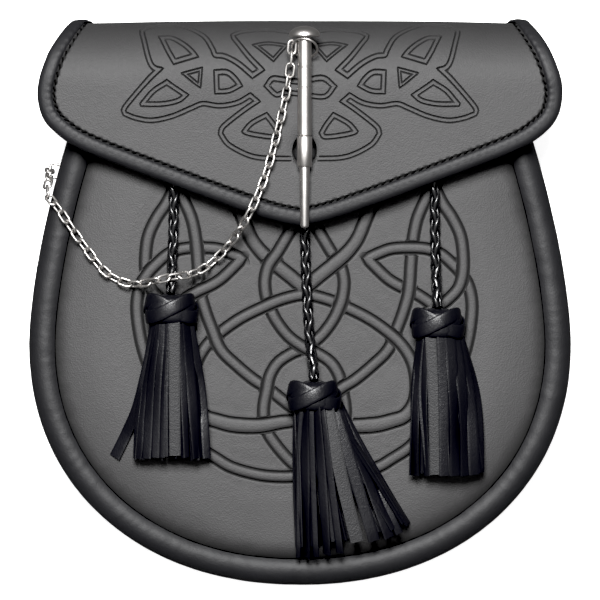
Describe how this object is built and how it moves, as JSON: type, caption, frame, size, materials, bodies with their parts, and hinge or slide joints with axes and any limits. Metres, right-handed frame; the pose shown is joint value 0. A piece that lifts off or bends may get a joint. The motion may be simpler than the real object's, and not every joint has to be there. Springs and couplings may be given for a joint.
{
  "type": "sporran pouch",
  "caption": "Rounded black leather pouch with a pointed flap closed by a metal pin, a tether chain and hanging leather tassels, worn in front on a belt.",
  "frame": {"origin": "on the surface that the pouch lies on, under the middle of its outline", "axes": "+X across the pouch to the right of its front, +Y up towards the fold of the flap, +Z out of its front"},
  "size_m": [0.19, 0.198, 0.0508],
  "materials": {
    "panel_leather": "embossed grain, soft sheen",
    "binding_leather": "smooth, semi-gloss, creased where rolled",
    "tassel_leather": "smooth cut strips",
    "braided_leather": "round braid, waxed",
    "nickel": "polished nickel plate"
  },
  "bodies": {
    "root": {"body_leather": "panel_leather", "front_panel": "panel_leather", "gusset": "binding_leather", "flap_binding": "binding_leather", "belt_loop_left": "binding_leather", "belt_loop_right": "binding_leather", "closure_barrel": "nickel", "closure_pin": "nickel", "pin_ring": "nickel", "chain_staple": "nickel", "chain": "nickel", "cord_left": "braided_leather", "cord_middle": "braided_leather", "cord_right": "braided_leather", "tassel_left": "tassel_leather", "tassel_middle": "tassel_leather", "tassel_right": "tassel_leather"}
  },
  "joints": []
}
